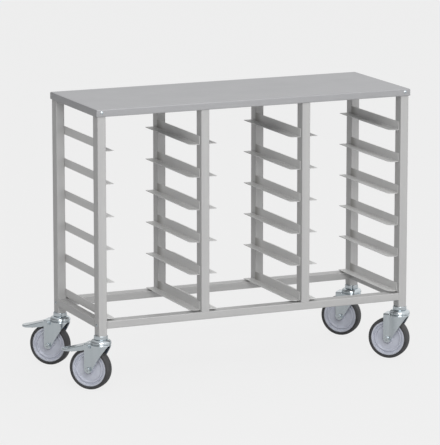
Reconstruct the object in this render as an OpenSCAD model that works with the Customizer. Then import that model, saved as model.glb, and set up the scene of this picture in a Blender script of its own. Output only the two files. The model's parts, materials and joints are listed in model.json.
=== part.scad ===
// Tray return trolley: three bays of six tray slides in a tube frame on four swivel casters.
// Millimetres, +X along the width, +Y to the back, +Z up, origin on the floor.

/* [Frame] */
// Clear width of one tray bay, between posts
bay_w = 299; // [270:1:340]
// Depth over the posts
frame_d = 370; // [320:1:480]
// Height from the floor to the top sheet
frame_h = 831.5; // [820:0.5:900]
// Width of a post tube, along X
tube_w = 26; // [24:1:34]
// Depth of a post tube, along Y
tube_d = 36; // [32:1:44]
// Wall of all tubes
tube_wall = 1.5; // [1.2:0.1:2]
// Outer corner radius of all tubes
tube_round = 2; // [1.6:0.1:3]
// Height of the bottom rails
rail_h = 22.5; // [20:0.5:30]
// How far the corner posts run on below the rails
post_drop = 21; // [16:1:30]

/* [Top] */
// Thickness of the top sheet
sheet_t = 1.5; // [1:0.1:2]
// Height of the rim folded down round the top
rim_h = 21; // [18:1:30]
// Height of the hem folded back up inside the rim
hem_h = 6; // [4:1:8]
// Clear gap between the hem and the posts
hem_gap = 0.4; // [0.2:0.1:1]
// Open seam where two rims meet at a corner
seam = 0.8; // [0.4:0.1:1.5]
// Rounding of the lower corners of the side rims
rim_round = 5; // [2:0.5:7]

/* [Slides] */
// Number of tray levels in each bay
levels = 6; // [4:1:6]
// Height from the lowest level to the second
first_rise = 107; // [90:1:112]
// Height from each further level to the next
level_pitch = 97; // [80:0.5:100]
// Gap between the rails and the lowest slides
slide_lift = 4; // [3:0.5:12]
// Height of the upright web of a slide
web_h = 26; // [18:1:30]
// Height of the web of a slide that shares its mid posts with a taller one on their left
low_web_h = 14; // [10:1:30]
// Width of the flat flange that a tray rests on
flange_w = 29; // [22:1:36]
// Thickness of a slide
slide_t = 1.5; // [1:0.1:2]
// How far the ends of a slide stay behind the posts' outer faces
slide_inset = 11; // [6:1:16]
// Radius of the one rounded corner of a flange
slide_round = 20; // [10:1:21]

/* [Casters] */
// Wheel diameter over the tyre
wheel_d = 125; // [120:1:128]
// Width of the tyre
tyre_w = 32; // [28:1:34]
// Thickness of the tyre on its rim
tyre_t = 9.5; // [8.5:0.5:12]
// Distance from the swivel axis back to the axle
trail = 33; // [32:1:40]
// How far the casters are swivelled, so that they trail to the back as well as to the left
caster_turn = 45; // [0:5:50]
// Clear height between the tyre and the fork's crown
crown_gap = 11; // [8:0.5:14]
// Radius of the bearing housing
housing_r = 31; // [29:0.5:34]
// Height of the bearing housing
housing_h = 13; // [12:0.5:16]
// Radius of the collar under the post
collar_r = 20.5; // [18:0.5:22]
// Height of the collar under the post
collar_h = 12; // [8:0.5:16]
// Thickness of the pressed fork
fork_t = 2.5; // [2:0.1:3]
// Half width over the fork's legs
fork_half = 21.5; // [21:0.1:23]
// Radius of the fork's round front, about the swivel axis
crown_r = 30; // [28:0.5:31]
// Radius of a fork leg's lower end, round the axle
leg_r = 12; // [10:0.5:14]
// Radius of the axle bolt
axle_r = 4; // [3.5:0.1:5]
// Radius of the king pin that the fork turns on
king_r = 6; // [5:0.5:8]
// Radius of a bearing ball
ball_r = 3; // [2.5:0.1:3]
// Number of balls in each swivel bearing
balls = 16; // [10:1:18]
// Length of the plug inside a post
plug_h = 40; // [34:1:60]

/* [Brakes] */
// Reach of a brake pedal's tip, back from the axle
pedal_reach = 91; // [84:1:96]
// Thickness of a brake pedal's sheet
pedal_t = 1.8; // [1.5:0.1:2]
// Radius of a pedal's pivot rivet
rivet_r = 3; // [2.5:0.1:3.5]

/* [Screws] */
// Radius of a screw's shank
screw_r = 2.5; // [2:0.1:3]
// Radius of a screw's head
screw_head_r = 4.6; // [4:0.1:5.5]
// Height of a screw's head
screw_head_h = 2.4; // [2:0.1:3]
// Length of a screw's shank
screw_len = 12; // [10:1:16]
// How far the top screws sit below the top sheet
top_screw_drop = 9; // [7:0.5:11]
// How far the plug screws sit above the rails' underside
plug_screw_lift = 9; // [6:0.5:14]

/* [Hidden] */
$fn = 64;
bays = 3;
fit = 0.05;
play = 0.3;
hole_gap = 0.1;
plug_gap = 0.2;
screw_gap = 1;
screw_slot = 0.9;
dome_flat = 1.5;

frame_w = bays * bay_w + (bays + 1) * tube_w;
post_x = (frame_w - tube_w) / 2;
post_y = (frame_d - tube_d) / 2;
axle_x = -trail;
axle_z = wheel_d / 2;
rim_r = axle_z - tyre_t;
crown_z = wheel_d + crown_gap + fork_t;
back_rise = 1.5;
back_z = crown_z + back_rise;
housing_z = crown_z + play;
collar_z = housing_z + housing_h;
foot_z = collar_z + collar_h;
rail_z = foot_z + post_drop;
rail_top_z = rail_z + rail_h;
post_top_z = frame_h - sheet_t;
level_z = rail_top_z + slide_lift;
slide_len = frame_d - 2 * slide_inset;
web_start = tube_d - slide_inset;
rim_out = 2 * sheet_t + hem_gap;
top_w = frame_w + 2 * rim_out;
top_d = frame_d + 2 * rim_out;
top_screw_z = frame_h - top_screw_drop;
plug_screw_z = rail_z + plug_screw_lift;

// How far a flat side runs inside the round that it meets
bite = 0.4;
leg_half = leg_r - bite;
leg_fore = 8;
slant = 57;
crown_lip = 1.5;
back_cut = 4;
step_wall = 1.5;
cup_gap = 1;
cup_r = housing_r + cup_gap;
hub_half = 18;
hub_r = 12;
web_half = 8;
ring_half = 12;
lip_half = 14.5;
lip_in = rim_r - 5.5;
lip_edge = 1;
draft = 1.5;
hub_flare = 3;
web_step = 1;
ring_out = rim_r - 9.5;
ring_in = rim_r - 16;
shoulder_r = 6;
ball_ring_r = 22;
race_half = 4;
rivet_head = 3;
rivet_over = 4;
cap_h = 2;
cap_over = 2;
bolt_head_r = 7;
bolt_head_h = 5;
nut_h = 6.5;
pivot_back = 1;
pivot_drop = 8;
pivot_x = axle_x - pivot_back;
pivot_z = crown_z - pivot_drop;
ear_r = 8;
cheek_gap = 0.3;
cheek_in = fork_half + cheek_gap;
cheek_out = cheek_in + pedal_t;
// The shoe's middle lies behind the axle by this share of the wheel's radius
shoe_share = 0.72;
shoe_x = axle_x - shoe_share * axle_z;
shoe_len = 22;
shoe_half = 12;
shoe_drop = 33;
shoe_gap = 10;
shoe_sides = 360;
// The pedal's outline: places back from the axle, and how far below the crown it lies there
pedal_knee = 24;
pedal_bend = 72;
cheek_fore = 20;
cheek_low = 44;
cheek_far = 72;
heel_drop = 3;
knee_drop = 6;
bend_drop = 20;
tip_drop = 22;
fore_drop = 21;
low_drop = 25;
far_drop = 27;
tip_h = 4;
heel_gap = 1.2;
tip_r = cheek_out + bite;

// The pedals trail to the left and to the back, so the frame stands off the middle of the whole.
pedal_span = trail + pedal_reach - tip_r;
left_out = max(housing_r, pedal_span * cos(caster_turn) + tip_r);
rear_out = max(housing_r, pedal_span * sin(caster_turn) + tip_r);
frame_x = (left_out - housing_r) / 2;
frame_y = (housing_r - rear_out) / 2;

steel = [0.74, 0.74, 0.74];
zinc = [0.66, 0.70, 0.74];
rim_grey = [0.66, 0.68, 0.74];
rubber = [0.2, 0.2, 0.21];

function bay_left(i) = -frame_w / 2 + tube_w + i * (bay_w + tube_w);
function bay_right(i) = bay_left(i) + bay_w;
function mid_x(i) = bay_right(i) + tube_w / 2;
function level_up(k) = k == 0 ? 0 : first_rise + (k - 1) * level_pitch;
// Angle at which a line from the point p touches a circle of radius r about the origin
function touch(p, r) = atan2(p[1], p[0]) - acos(r / norm(p));
function on_circle(r, a) = [r * cos(a), r * sin(a)];

module framed() {
    translate([frame_x, frame_y, 0]) children();
}

// Puts a caster's piece under the corner post on side sx (left -1) and sy (front -1)
module caster(sx, sy) {
    framed() translate([sx * post_x, sy * post_y, 0]) children();
}

// Puts a piece that swivels there, turned as the caster stands
module swivelled(sx, sy) {
    caster(sx, sy) rotate(-caster_turn) children();
}

module along_y(x, y, z) {
    translate([x, y, z]) rotate([-90, 0, 0]) children();
}

module rounded_rect(w, d, r) {
    square([w - 2 * r, d], center = true);
    square([w, d - 2 * r], center = true);
    for (sx = [-1, 1], sy = [-1, 1]) translate([sx * (w / 2 - r), sy * (d / 2 - r)]) circle(r);
}

module tube(w, d, len) {
    linear_extrude(len) difference() {
        rounded_rect(w, d, tube_round);
        square([w - 2 * tube_wall, d - 2 * tube_wall], center = true);
    }
}

module corner_post(sx, sy) {
    color(steel) framed() difference() {
        translate([sx * post_x, sy * post_y, foot_z]) tube(tube_w, tube_d, post_top_z - foot_z);
        top_screw_place(sx, sy) cylinder(r = screw_r + hole_gap, h = 2 * screw_len, center = true);
        plug_screw_place(sx, sy) cylinder(r = screw_r + hole_gap, h = 2 * screw_len, center = true);
    }
}

module mid_post(i, sy) {
    color(steel) framed() translate([mid_x(i), sy * post_y, rail_top_z])
        tube(tube_w, tube_d, post_top_z - rail_top_z);
}

module long_rail(sy) {
    len = frame_w - 2 * tube_w;
    color(steel) framed() translate([-len / 2, sy * post_y, rail_z + rail_h / 2])
        rotate([0, 90, 0]) tube(rail_h, tube_d, len);
}

module side_rail(sx) {
    len = frame_d - 2 * tube_d;
    color(steel) framed() translate([sx * post_x, len / 2, rail_z + rail_h / 2])
        rotate([90, 0, 0]) tube(tube_w, rail_h, len);
}

module side_rim(sx) {
    len = top_d - 2 * sheet_t - 2 * seam;
    x = sx * (top_w - sheet_t) / 2;
    translate([x - sheet_t / 2, 0, frame_h - rim_h]) rotate([90, 0, 90]) linear_extrude(sheet_t) {
        translate([-len / 2, rim_round]) square([len, rim_h - rim_round]);
        translate([rim_round - len / 2, 0]) square([len - 2 * rim_round, rim_round]);
        for (s = [-1, 1]) translate([s * (len / 2 - rim_round), rim_round]) circle(rim_round);
    }
}

module hem(len) {
    translate([0, 0, hem_h / 2]) cube([len, sheet_t, hem_h], center = true);
}

module top_panel() {
    color(steel) framed() difference() {
        union() {
            translate([0, 0, frame_h - sheet_t / 2]) cube([top_w, top_d, sheet_t], center = true);
            for (s = [-1, 1]) {
                translate([0, s * (top_d - sheet_t) / 2, frame_h - rim_h / 2])
                    cube([top_w, sheet_t, rim_h], center = true);
                side_rim(s);
                translate([0, s * (top_d / 2 - 1.5 * sheet_t), frame_h - rim_h]) hem(frame_w);
                translate([s * (top_w / 2 - 1.5 * sheet_t), 0, frame_h - rim_h])
                    rotate(90) hem(frame_d - 2 * tube_d);
            }
        }
        for (sx = [-1, 1], sy = [-1, 1]) top_screw_place(sx, sy)
            cylinder(r = screw_r + hole_gap, h = 2 * screw_len, center = true);
    }
}

// One slide with its web at x = 0, which ends at the front post, and its rounded corner at the back
module slide(web) {
    translate([0, -slide_len / 2, 0]) {
        translate([0, web_start, 0]) cube([slide_t, slide_len - web_start, web]);
        linear_extrude(slide_t) intersection() {
            square([flange_w, slide_len]);
            union() {
                square([flange_w, slide_len - slide_round]);
                square([flange_w - slide_round, slide_len]);
                translate([flange_w - slide_round, slide_len - slide_round]) circle(slide_round);
            }
        }
    }
}

// All slides on one side of a bay: those on the right are turned half round
module slides(i, side) {
    x = side < 0 ? bay_left(i) : bay_right(i);
    web = side < 0 && i > 0 ? low_web_h : web_h;
    color(steel) framed() for (k = [0:levels - 1])
        translate([x, 0, level_z + level_up(k)]) rotate(side < 0 ? 0 : 180) slide(web);
}

// Pan head with a cross recess, its seat at z = 0 and its shank running down
module screw() {
    difference() {
        rotate_extrude() intersection() {
            translate([0, screw_head_h - dome_r()]) circle(dome_r());
            square([screw_head_r, screw_head_h]);
        }
        for (a = [0, 90]) rotate(a) translate([0, 0, screw_head_h])
            cube([screw_head_r, screw_slot, screw_head_h], center = true);
    }
    translate([0, 0, -screw_len]) cylinder(r = screw_r, h = screw_len);
}

function dome_r() = (screw_head_r ^ 2 + screw_head_h ^ 2) / (2 * screw_head_h) + dome_flat;

module top_screw_place(sx, sy) {
    translate([sx * post_x, sy * top_d / 2, top_screw_z]) rotate([-90 * sy, 0, 0]) children();
}

module plug_screw_place(sx, sy) {
    translate([sx * frame_w / 2, sy * post_y, plug_screw_z]) rotate([0, 90 * sx, 0]) children();
}

module top_screws() {
    color(zinc) framed() for (sx = [-1, 1], sy = [-1, 1]) top_screw_place(sx, sy) screw();
}

module plug_screws() {
    color(zinc) framed() for (sx = [-1, 1], sy = [-1, 1]) plug_screw_place(sx, sy) screw();
}

module stem(sx, sy) {
    plug_w = tube_w - 2 * tube_wall - 2 * plug_gap;
    plug_d = tube_d - 2 * tube_wall - 2 * plug_gap;
    head_z = crown_z - fork_t - play;
    color(zinc) difference() {
        caster(sx, sy) {
            translate([0, 0, foot_z + plug_h / 2]) cube([plug_w, plug_d, plug_h], center = true);
            translate([0, 0, collar_z]) cylinder(r = collar_r, h = collar_h);
            translate([0, 0, head_z]) cylinder(r = king_r, h = collar_z - head_z);
            translate([0, 0, head_z - rivet_head]) cylinder(r = king_r + rivet_over, h = rivet_head);
        }
        framed() plug_screw_place(sx, sy)
            cylinder(r = screw_r + hole_gap, h = 2 * (screw_len + screw_gap), center = true);
    }
}

module housing(sx, sy) {
    bend = housing_r - collar_r;
    color(zinc) caster(sx, sy) translate([0, 0, housing_z]) rotate_extrude() difference() {
        union() {
            square([housing_r, housing_h - bend]);
            square([collar_r, housing_h]);
            translate([collar_r, housing_h - bend]) intersection() {
                circle(bend);
                square(bend);
            }
        }
        square([2 * (king_r + fit), 3 * housing_h], center = true);
        translate([ball_ring_r - race_half, -1]) square([2 * race_half, 2 * ball_r + 1]);
    }
}

module ball_ring(sx, sy) {
    color(zinc) caster(sx, sy) for (k = [0:balls - 1]) rotate(k * 360 / balls)
        translate([ball_ring_r, 0, housing_z + ball_r]) sphere(ball_r);
}

// Plan of the fork: two legs that flare out to a round front about the swivel axis
module fork_plan(half, r, back) {
    knee = [axle_x + leg_fore, half];
    far = on_circle(r - bite, touch(knee, r - bite));
    circle(r);
    polygon([[back, -half], [knee[0], -half], [far[0], -far[1]], far, knee, [back, half]]);
}

// Side of the fork: upright back edge, flat top and slanting front edge
module fork_side() {
    back = axle_x - leg_half;
    foot = [axle_x + leg_half * sin(slant), axle_z - leg_half * cos(slant)];
    lip_z = crown_z - fork_t - crown_lip;
    slant_x = foot[0] + (lip_z - foot[1]) / tan(slant);
    polygon([
        [back, axle_z], [back, back_z - back_cut], [back + back_cut, back_z], [2 * crown_r, back_z],
        [2 * crown_r, lip_z], [slant_x, lip_z], foot
    ]);
}

// Space under the fork's crown, which is higher behind the cup that the housing turns in
module fork_hollow() {
    low = axle_z - 2 * leg_r;
    across(2 * crown_r) translate([2 * axle_x, low])
        square([2 * (crown_r - axle_x), crown_z - fork_t - low]);
    difference() {
        across(2 * crown_r) translate([2 * axle_x, low]) square([-2 * axle_x, back_z - fork_t - low]);
        cylinder(r = cup_r + step_wall, h = 2 * back_z);
    }
}

module across(half) {
    rotate([90, 0, 0]) linear_extrude(2 * half, center = true) children();
}

module fork(sx, sy) {
    color(zinc) swivelled(sx, sy) difference() {
        intersection() {
            linear_extrude(back_z) fork_plan(fork_half, crown_r, axle_x - leg_r);
            union() {
                across(2 * crown_r) fork_side();
                along_y(axle_x, 0, axle_z) cylinder(r = leg_r, h = 4 * crown_r, center = true);
            }
        }
        intersection() {
            linear_extrude(back_z) fork_plan(fork_half - fork_t, crown_r - fork_t, 2 * axle_x);
            fork_hollow();
        }
        translate([0, 0, crown_z]) cylinder(r = cup_r, h = back_z);
        cylinder(r = king_r + fit, h = 2 * crown_z);
        along_y(axle_x, 0, axle_z) cylinder(r = axle_r + hole_gap, h = 4 * crown_r, center = true);
        if (sx < 0) along_y(pivot_x, 0, pivot_z)
            cylinder(r = rivet_r + hole_gap, h = 4 * crown_r, center = true);
    }
}

module axle(sx, sy) {
    color(zinc) swivelled(sx, sy) along_y(axle_x, 0, axle_z) {
        translate([0, 0, -fork_half - bolt_head_h / 2])
            cylinder(r = axle_r, h = 2 * fork_half + bolt_head_h / 2 + nut_h);
        translate([0, 0, -fork_half - bolt_head_h]) rotate(30)
            cylinder(r = bolt_head_r, h = bolt_head_h, $fn = 6);
    }
}

module nut(sx, sy) {
    color(zinc) swivelled(sx, sy) along_y(axle_x, fork_half, axle_z) difference() {
        cylinder(r = bolt_head_r, h = nut_h, $fn = 6);
        cylinder(r = axle_r + fit, h = 3 * nut_h, center = true);
    }
}

// Half section of the wheel's rim, from the bore out: hub, web, raised ring, groove and lip
function rim_half() = [
    [axle_r + fit, hub_half], [hub_r, hub_half], [hub_r + hub_flare, web_half + web_step],
    [ring_in, web_half], [ring_in + draft, ring_half], [ring_out - draft, ring_half],
    [ring_out, web_half + web_step], [lip_in - draft, web_half + web_step], [lip_in, lip_half],
    [rim_r - lip_edge, lip_half], [rim_r, lip_half - lip_edge]
];

module rim(sx, sy) {
    half = rim_half();
    other = [for (k = [len(half) - 1:-1:0]) [half[k][0], -half[k][1]]];
    color(rim_grey) swivelled(sx, sy) along_y(axle_x, 0, axle_z)
        rotate_extrude() polygon(concat(half, other));
}

module tyre(sx, sy) {
    tread = axle_z - rim_r;
    color(rubber) swivelled(sx, sy) along_y(axle_x, 0, axle_z) rotate_extrude() {
        translate([rim_r, -tyre_w / 2]) square([tread - shoulder_r, tyre_w]);
        translate([rim_r, shoulder_r - tyre_w / 2]) square([tread, tyre_w - 2 * shoulder_r]);
        for (s = [-1, 1]) translate([axle_z - shoulder_r, s * (tyre_w / 2 - shoulder_r)])
            intersection() {
                circle(shoulder_r);
                translate([-shoulder_r / 2, -shoulder_r]) square(2 * shoulder_r);
            }
    }
}

// Top line of the pedal, from its tip to the fork
function pedal_top() = [
    [axle_x - pedal_reach, crown_z - tip_drop], [axle_x - pedal_bend, crown_z - bend_drop],
    [axle_x - pedal_knee, crown_z - knee_drop], [axle_x - leg_r - heel_gap, crown_z - heel_drop]
];

module pedal_cheek() {
    top = pedal_top();
    polygon(concat(top, [
        [pivot_x, pivot_z + ear_r], [pivot_x, pivot_z - ear_r],
        [axle_x - cheek_fore, crown_z - fore_drop], [axle_x - cheek_low, crown_z - low_drop],
        [axle_x - cheek_far, crown_z - far_drop], [axle_x - pedal_reach, crown_z - tip_drop - tip_h]
    ]));
    translate([pivot_x, pivot_z]) circle(ear_r);
}

module pedal_plate() {
    top = pedal_top();
    polygon(concat(top, [for (k = [len(top) - 1:-1:0]) [top[k][0], top[k][1] - pedal_t]]));
}

// Plan of the pedal: straight sides and a round tip
module pedal_plan() {
    round_x = axle_x - pedal_reach + tip_r;
    translate([round_x, 0]) circle(tip_r);
    translate([round_x, -tip_r]) square([-round_x, 2 * tip_r]);
}

module pedal(sy) {
    color(zinc) swivelled(-1, sy) difference() {
        intersection() {
            union() {
                across(cheek_out) pedal_plate();
                for (s = [-1, 1]) translate([0, s * (cheek_in + cheek_out) / 2, 0])
                    across(pedal_t / 2) pedal_cheek();
            }
            linear_extrude(2 * back_z) pedal_plan();
        }
        along_y(pivot_x, 0, pivot_z) cylinder(r = rivet_r + fit, h = 4 * cheek_out, center = true);
    }
}

module pedal_rivets(sy) {
    color(zinc) swivelled(-1, sy) for (s = [-1, 1]) along_y(pivot_x, 0, pivot_z) {
        shank = cheek_out + cheek_gap - fork_half + fork_t;
        translate([0, 0, s * (fork_half - fork_t + shank / 2)])
            cylinder(r = rivet_r, h = shank, center = true);
        translate([0, 0, s * (cheek_out + cheek_gap + cap_h / 2)])
            cylinder(r = rivet_r + cap_over, h = cap_h, center = true);
    }
}

module brake_shoe(sy) {
    color(rubber) swivelled(-1, sy) difference() {
        translate([shoe_x - shoe_len / 2, -shoe_half, crown_z - shoe_drop])
            cube([shoe_len, 2 * shoe_half, shoe_drop]);
        across(2 * cheek_out) polygon(concat(
            [for (p = pedal_top()) [p[0], p[1] - pedal_t]],
            [[axle_x, 2 * back_z], [axle_x - 2 * pedal_reach, 2 * back_z]]
        ));
        along_y(axle_x, 0, axle_z)
            cylinder(r = axle_z + shoe_gap, h = 4 * shoe_half, center = true, $fn = shoe_sides);
    }
}

top_panel();
corner_post(-1, -1);  // post_front_left
corner_post(1, -1);  // post_front_right
corner_post(-1, 1);  // post_rear_left
corner_post(1, 1);  // post_rear_right
mid_post(0, -1);  // mid_post_front_1
mid_post(1, -1);  // mid_post_front_2
mid_post(0, 1);  // mid_post_rear_1
mid_post(1, 1);  // mid_post_rear_2
long_rail(-1);  // rail_front
long_rail(1);  // rail_rear
side_rail(-1);  // rail_left
side_rail(1);  // rail_right
slides(0, -1);  // slides_bay1_left
slides(0, 1);  // slides_bay1_right
slides(1, -1);  // slides_bay2_left
slides(1, 1);  // slides_bay2_right
slides(2, -1);  // slides_bay3_left
slides(2, 1);  // slides_bay3_right
top_screws();
plug_screws();
stem(-1, -1);  // stem_front_left
stem(1, -1);  // stem_front_right
stem(-1, 1);  // stem_rear_left
stem(1, 1);  // stem_rear_right
housing(-1, -1);  // housing_front_left
housing(1, -1);  // housing_front_right
housing(-1, 1);  // housing_rear_left
housing(1, 1);  // housing_rear_right
ball_ring(-1, -1);  // balls_front_left
ball_ring(1, -1);  // balls_front_right
ball_ring(-1, 1);  // balls_rear_left
ball_ring(1, 1);  // balls_rear_right
fork(-1, -1);  // fork_front_left
fork(1, -1);  // fork_front_right
fork(-1, 1);  // fork_rear_left
fork(1, 1);  // fork_rear_right
axle(-1, -1);  // axle_front_left
axle(1, -1);  // axle_front_right
axle(-1, 1);  // axle_rear_left
axle(1, 1);  // axle_rear_right
nut(-1, -1);  // nut_front_left
nut(1, -1);  // nut_front_right
nut(-1, 1);  // nut_rear_left
nut(1, 1);  // nut_rear_right
rim(-1, -1);  // rim_front_left
rim(1, -1);  // rim_front_right
rim(-1, 1);  // rim_rear_left
rim(1, 1);  // rim_rear_right
tyre(-1, -1);  // tyre_front_left
tyre(1, -1);  // tyre_front_right
tyre(-1, 1);  // tyre_rear_left
tyre(1, 1);  // tyre_rear_right
pedal(-1);  // pedal_front_left
pedal(1);  // pedal_rear_left
pedal_rivets(-1);  // pedal_rivets_front_left
pedal_rivets(1);  // pedal_rivets_rear_left
brake_shoe(-1);  // brake_shoe_front_left
brake_shoe(1);  // brake_shoe_rear_left
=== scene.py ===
"""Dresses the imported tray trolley: satin steel frame, folded top, tray slides and zinc casters.

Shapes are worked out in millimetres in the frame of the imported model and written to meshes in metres.
"""

import json
import logging
import math
from dataclasses import dataclass, field, replace
from enum import Enum
from typing import Any, Sequence

import bpy
import bmesh
import numpy as np
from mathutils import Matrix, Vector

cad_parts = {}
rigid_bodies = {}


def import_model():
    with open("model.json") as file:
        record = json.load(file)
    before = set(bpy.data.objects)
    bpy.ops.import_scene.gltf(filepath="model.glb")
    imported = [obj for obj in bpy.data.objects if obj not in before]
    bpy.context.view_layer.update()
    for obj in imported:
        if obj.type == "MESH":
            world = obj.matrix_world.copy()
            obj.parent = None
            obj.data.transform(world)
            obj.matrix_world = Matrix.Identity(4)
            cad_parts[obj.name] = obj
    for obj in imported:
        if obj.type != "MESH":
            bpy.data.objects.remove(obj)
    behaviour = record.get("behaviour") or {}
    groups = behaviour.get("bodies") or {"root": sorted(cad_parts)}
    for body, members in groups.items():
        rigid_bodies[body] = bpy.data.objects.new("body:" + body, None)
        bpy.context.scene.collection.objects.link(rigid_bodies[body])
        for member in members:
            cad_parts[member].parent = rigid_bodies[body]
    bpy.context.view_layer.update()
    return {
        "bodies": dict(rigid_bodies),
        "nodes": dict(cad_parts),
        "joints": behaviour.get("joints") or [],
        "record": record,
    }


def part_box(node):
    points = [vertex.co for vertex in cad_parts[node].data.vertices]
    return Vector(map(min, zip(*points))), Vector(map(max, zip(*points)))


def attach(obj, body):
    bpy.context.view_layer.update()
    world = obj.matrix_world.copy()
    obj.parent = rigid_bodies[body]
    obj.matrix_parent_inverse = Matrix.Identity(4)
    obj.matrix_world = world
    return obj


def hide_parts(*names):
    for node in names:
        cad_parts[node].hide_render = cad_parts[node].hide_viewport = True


LOG = logging.getLogger("trolley")
MM = 0.001
PHOTO_LONG_SIDE = 445
MERGE_MM = 0.002
SLIVER_MM = 0.001
MOST_OF_SIDE = 0.45
Array = np.ndarray
Colour = tuple[float, float, float, float]
Place = tuple[float, float, float]


class Grain(Enum):
    """Direction of a steel piece's drawn grain, as a stretch of its pattern along X, Y and Z."""

    ALONG_X = (0.02, 1.0, 1.0)
    ALONG_Y = (1.0, 0.02, 1.0)
    ALONG_Z = (1.0, 1.0, 0.02)


class Corner(Enum):
    """The four corner posts: the name's ending and the side in X."""

    FRONT_LEFT = ("front_left", -1)
    FRONT_RIGHT = ("front_right", 1)
    REAR_LEFT = ("rear_left", -1)
    REAR_RIGHT = ("rear_right", 1)

    @property
    def label(self) -> str:
        """Ending of the corner's node names."""
        return self.value[0]

    @property
    def braked(self) -> bool:
        """Whether this corner's caster carries a brake pedal."""
        return self.value[1] < 0


class Slot(Enum):
    """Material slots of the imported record."""

    STEEL = "satin_steel"
    ZINC = "zinc"
    PLASTIC = "wheel_plastic"
    RUBBER = "tyre_rubber"


@dataclass
class Skin:
    """Points and faces of one piece, gathered from several surfaces, in millimetres."""

    points: list[Array] = field(default_factory=list)
    faces: list[Array] = field(default_factory=list)
    count: int = 0

    def add(self, grid: Array, around: bool = False, closed: bool = False, flip: bool = False) -> "Skin":
        """Adds a surface given on a grid of two parameters, as one quad for each cell.

        A face's normal is the direction along a row crossed with the direction down a column.

        Args:
            grid: Points, rows by columns by 3.
            around: Whether the last column joins the first.
            closed: Whether the last row joins the first.
            flip: Whether the faces point the other way.

        Returns:
            This skin.
        """
        index = self.count + np.arange(grid.shape[0] * grid.shape[1]).reshape(grid.shape[:2])
        if around:
            index = np.concatenate([index, index[:, :1]], axis=1)
        if closed:
            index = np.concatenate([index, index[:1]], axis=0)
        cells = np.stack([index[:-1, :-1], index[:-1, 1:], index[1:, 1:], index[1:, :-1]], axis=-1)
        self.points.append(grid.reshape(-1, 3))
        self.faces.append(cells.reshape(-1, 4)[:, ::-1] if flip else cells.reshape(-1, 4))
        self.count += grid.shape[0] * grid.shape[1]
        return self

    def make(self, name: str, shell: bool = True, sharp_deg: float = 40.0) -> bpy.types.Object:
        """Writes the skin to a mesh object at the origin, with doubles merged and flats shaded flat.

        Args:
            name: Name of the piece.
            shell: Whether the skin is closed, so that its normals can be turned outwards.
            sharp_deg: Angle between faces above which their edge is shaded sharp.

        Returns:
            The new object, linked to the scene.
        """
        mesh = bpy.data.meshes.new(name)
        points = np.concatenate(self.points) * MM
        mesh.from_pydata(points.tolist(), [], np.concatenate(self.faces).tolist())
        work = bmesh.new()
        work.from_mesh(mesh)
        bmesh.ops.remove_doubles(work, verts=work.verts, dist=MERGE_MM * MM)
        bmesh.ops.dissolve_degenerate(work, edges=work.edges, dist=SLIVER_MM * MM)
        if shell:
            bmesh.ops.recalc_face_normals(work, faces=work.faces)
        work.to_mesh(mesh)
        work.free()
        mesh.shade_smooth()
        mesh.set_sharp_from_angle(angle=math.radians(sharp_deg))
        piece = bpy.data.objects.new(name, mesh)
        bpy.context.scene.collection.objects.link(piece)
        if shell:
            flatten(piece)
        return piece


def flatten(piece: bpy.types.Object) -> None:
    """Weights a piece's normals by face area, so that a bend's shading doesn't run into its flats."""
    weighted = piece.modifiers.new("flats", "WEIGHTED_NORMAL")
    weighted.keep_sharp = True
    weighted.weight = 60


def smooth(x: Array, start: float, end: float) -> Array:
    """Rises from 0 at start to 1 at end along the cubic 3t^2 - 2t^3."""
    t = np.clip((x - start) / (end - start), 0.0, 1.0)
    return t * t * (3 - 2 * t)


def soften(
    corners: Sequence[tuple[float, float]], radius: float, steps: int = 5, closed: bool = True
) -> Array:
    """Rounds the corners of a line: each becomes a quadratic curve between points on its two sides.

    Args:
        corners: Corner points of the line.
        radius: How far from a corner its curve begins, at most a set share of the side.
        steps: Points on each curve.
        closed: Whether the line's end joins its start.

    Returns:
        The rounded line's points, n by 2.
    """
    here = np.array(corners, float)
    before, after = np.roll(here, 1, axis=0), np.roll(here, -1, axis=0)
    inward, outward = before - here, after - here
    reach_in = np.linalg.norm(inward, axis=1, keepdims=True)
    reach_out = np.linalg.norm(outward, axis=1, keepdims=True)
    first = here + inward * np.minimum(radius / reach_in, MOST_OF_SIDE)
    last = here + outward * np.minimum(radius / reach_out, MOST_OF_SIDE)
    t = np.linspace(0, 1, steps)[None, :, None]
    curve = (1 - t) ** 2 * first[:, None] + 2 * t * (1 - t) * here[:, None] + t**2 * last[:, None]
    if not closed:
        curve[0], curve[-1] = here[0], here[-1]
    return curve.reshape(-1, 2)


def spread_out(x: Array | float, y: Array | float, z: Array | float) -> Array:
    """Stacks three coordinates, each one value or given along rows, columns or both, to a grid of points."""
    return np.stack(np.broadcast_arrays(x, y, z), axis=-1)


def turned(profile: Array, steps: int, along_y: bool = False) -> Array:
    """Turns a profile of radius and height round an axis.

    Args:
        profile: Radius and place along the axis, n by 2.
        steps: Columns round the axis.
        along_y: Whether the axis is Y instead of Z.

    Returns:
        A grid of profile points by columns.
    """
    turn = np.linspace(0, 2 * math.pi, steps, endpoint=False)
    across = profile[:, :1] * np.cos(turn)
    other = profile[:, :1] * np.sin(turn)
    height = np.broadcast_to(profile[:, 1:], across.shape)
    order = (across, height, other) if along_y else (across, other, height)
    return np.stack(order, axis=-1)


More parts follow.
